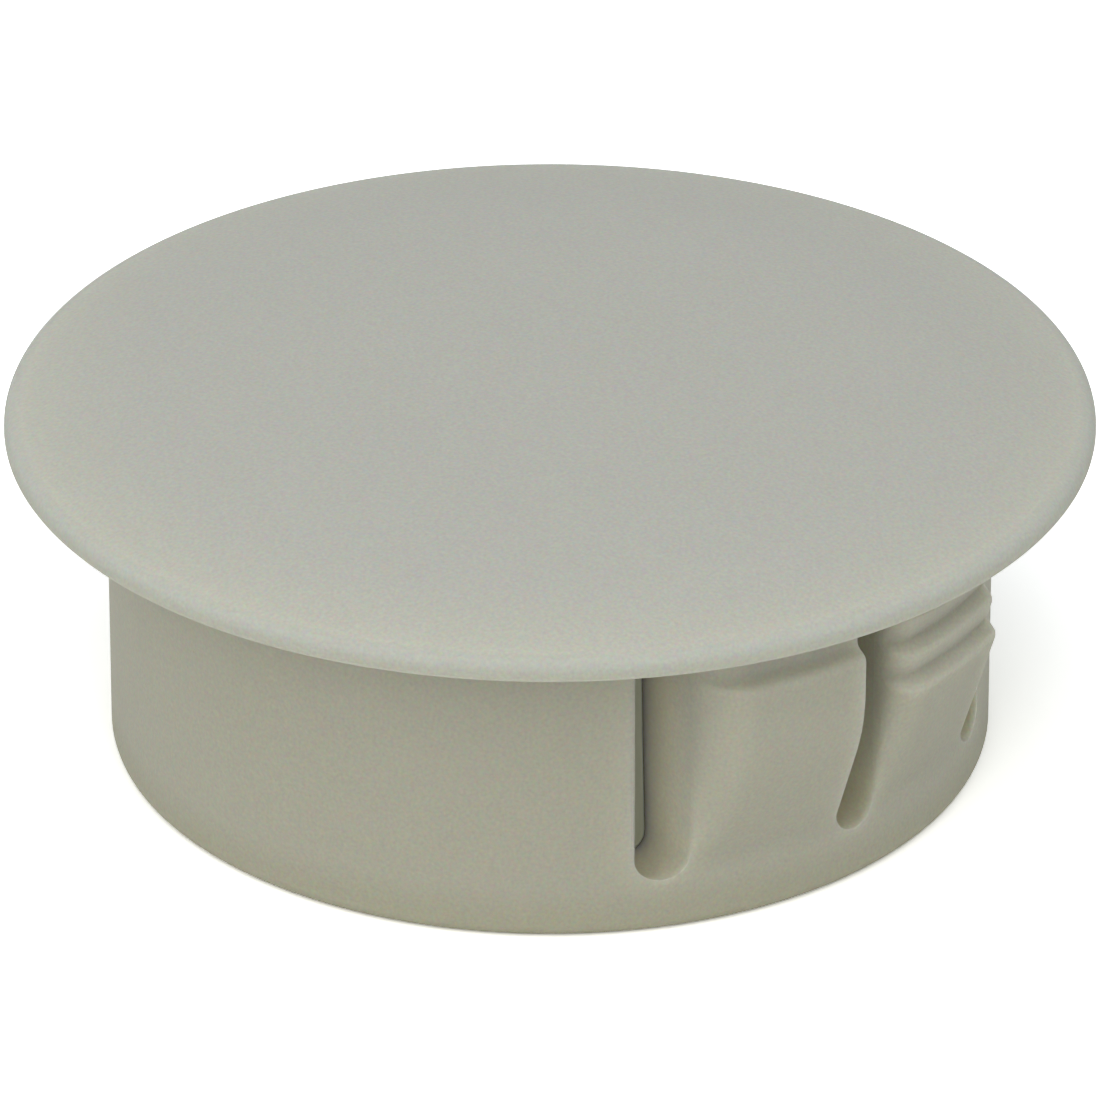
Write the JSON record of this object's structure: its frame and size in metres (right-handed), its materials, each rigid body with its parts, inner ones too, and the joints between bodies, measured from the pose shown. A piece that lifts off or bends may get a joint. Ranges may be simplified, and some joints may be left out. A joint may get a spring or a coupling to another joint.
{
  "type": "hole plug",
  "caption": "Domed round hole plug with a thin head, a hollow skirt and toothed spring fingers that snap in behind a panel.",
  "frame": {"origin": "centre of the skirt's open end, at the foot of the plug", "axes": "+Z along the plug's axis, from the open end up through the domed head; +X through the middle slot of one pair of spring fingers"},
  "size_m": [0.031, 0.031, 0.0119],
  "materials": {
    "moulded_nylon": "fine matt mould texture"
  },
  "bodies": {
    "root": {"hole_plug": "moulded_nylon"}
  },
  "joints": []
}
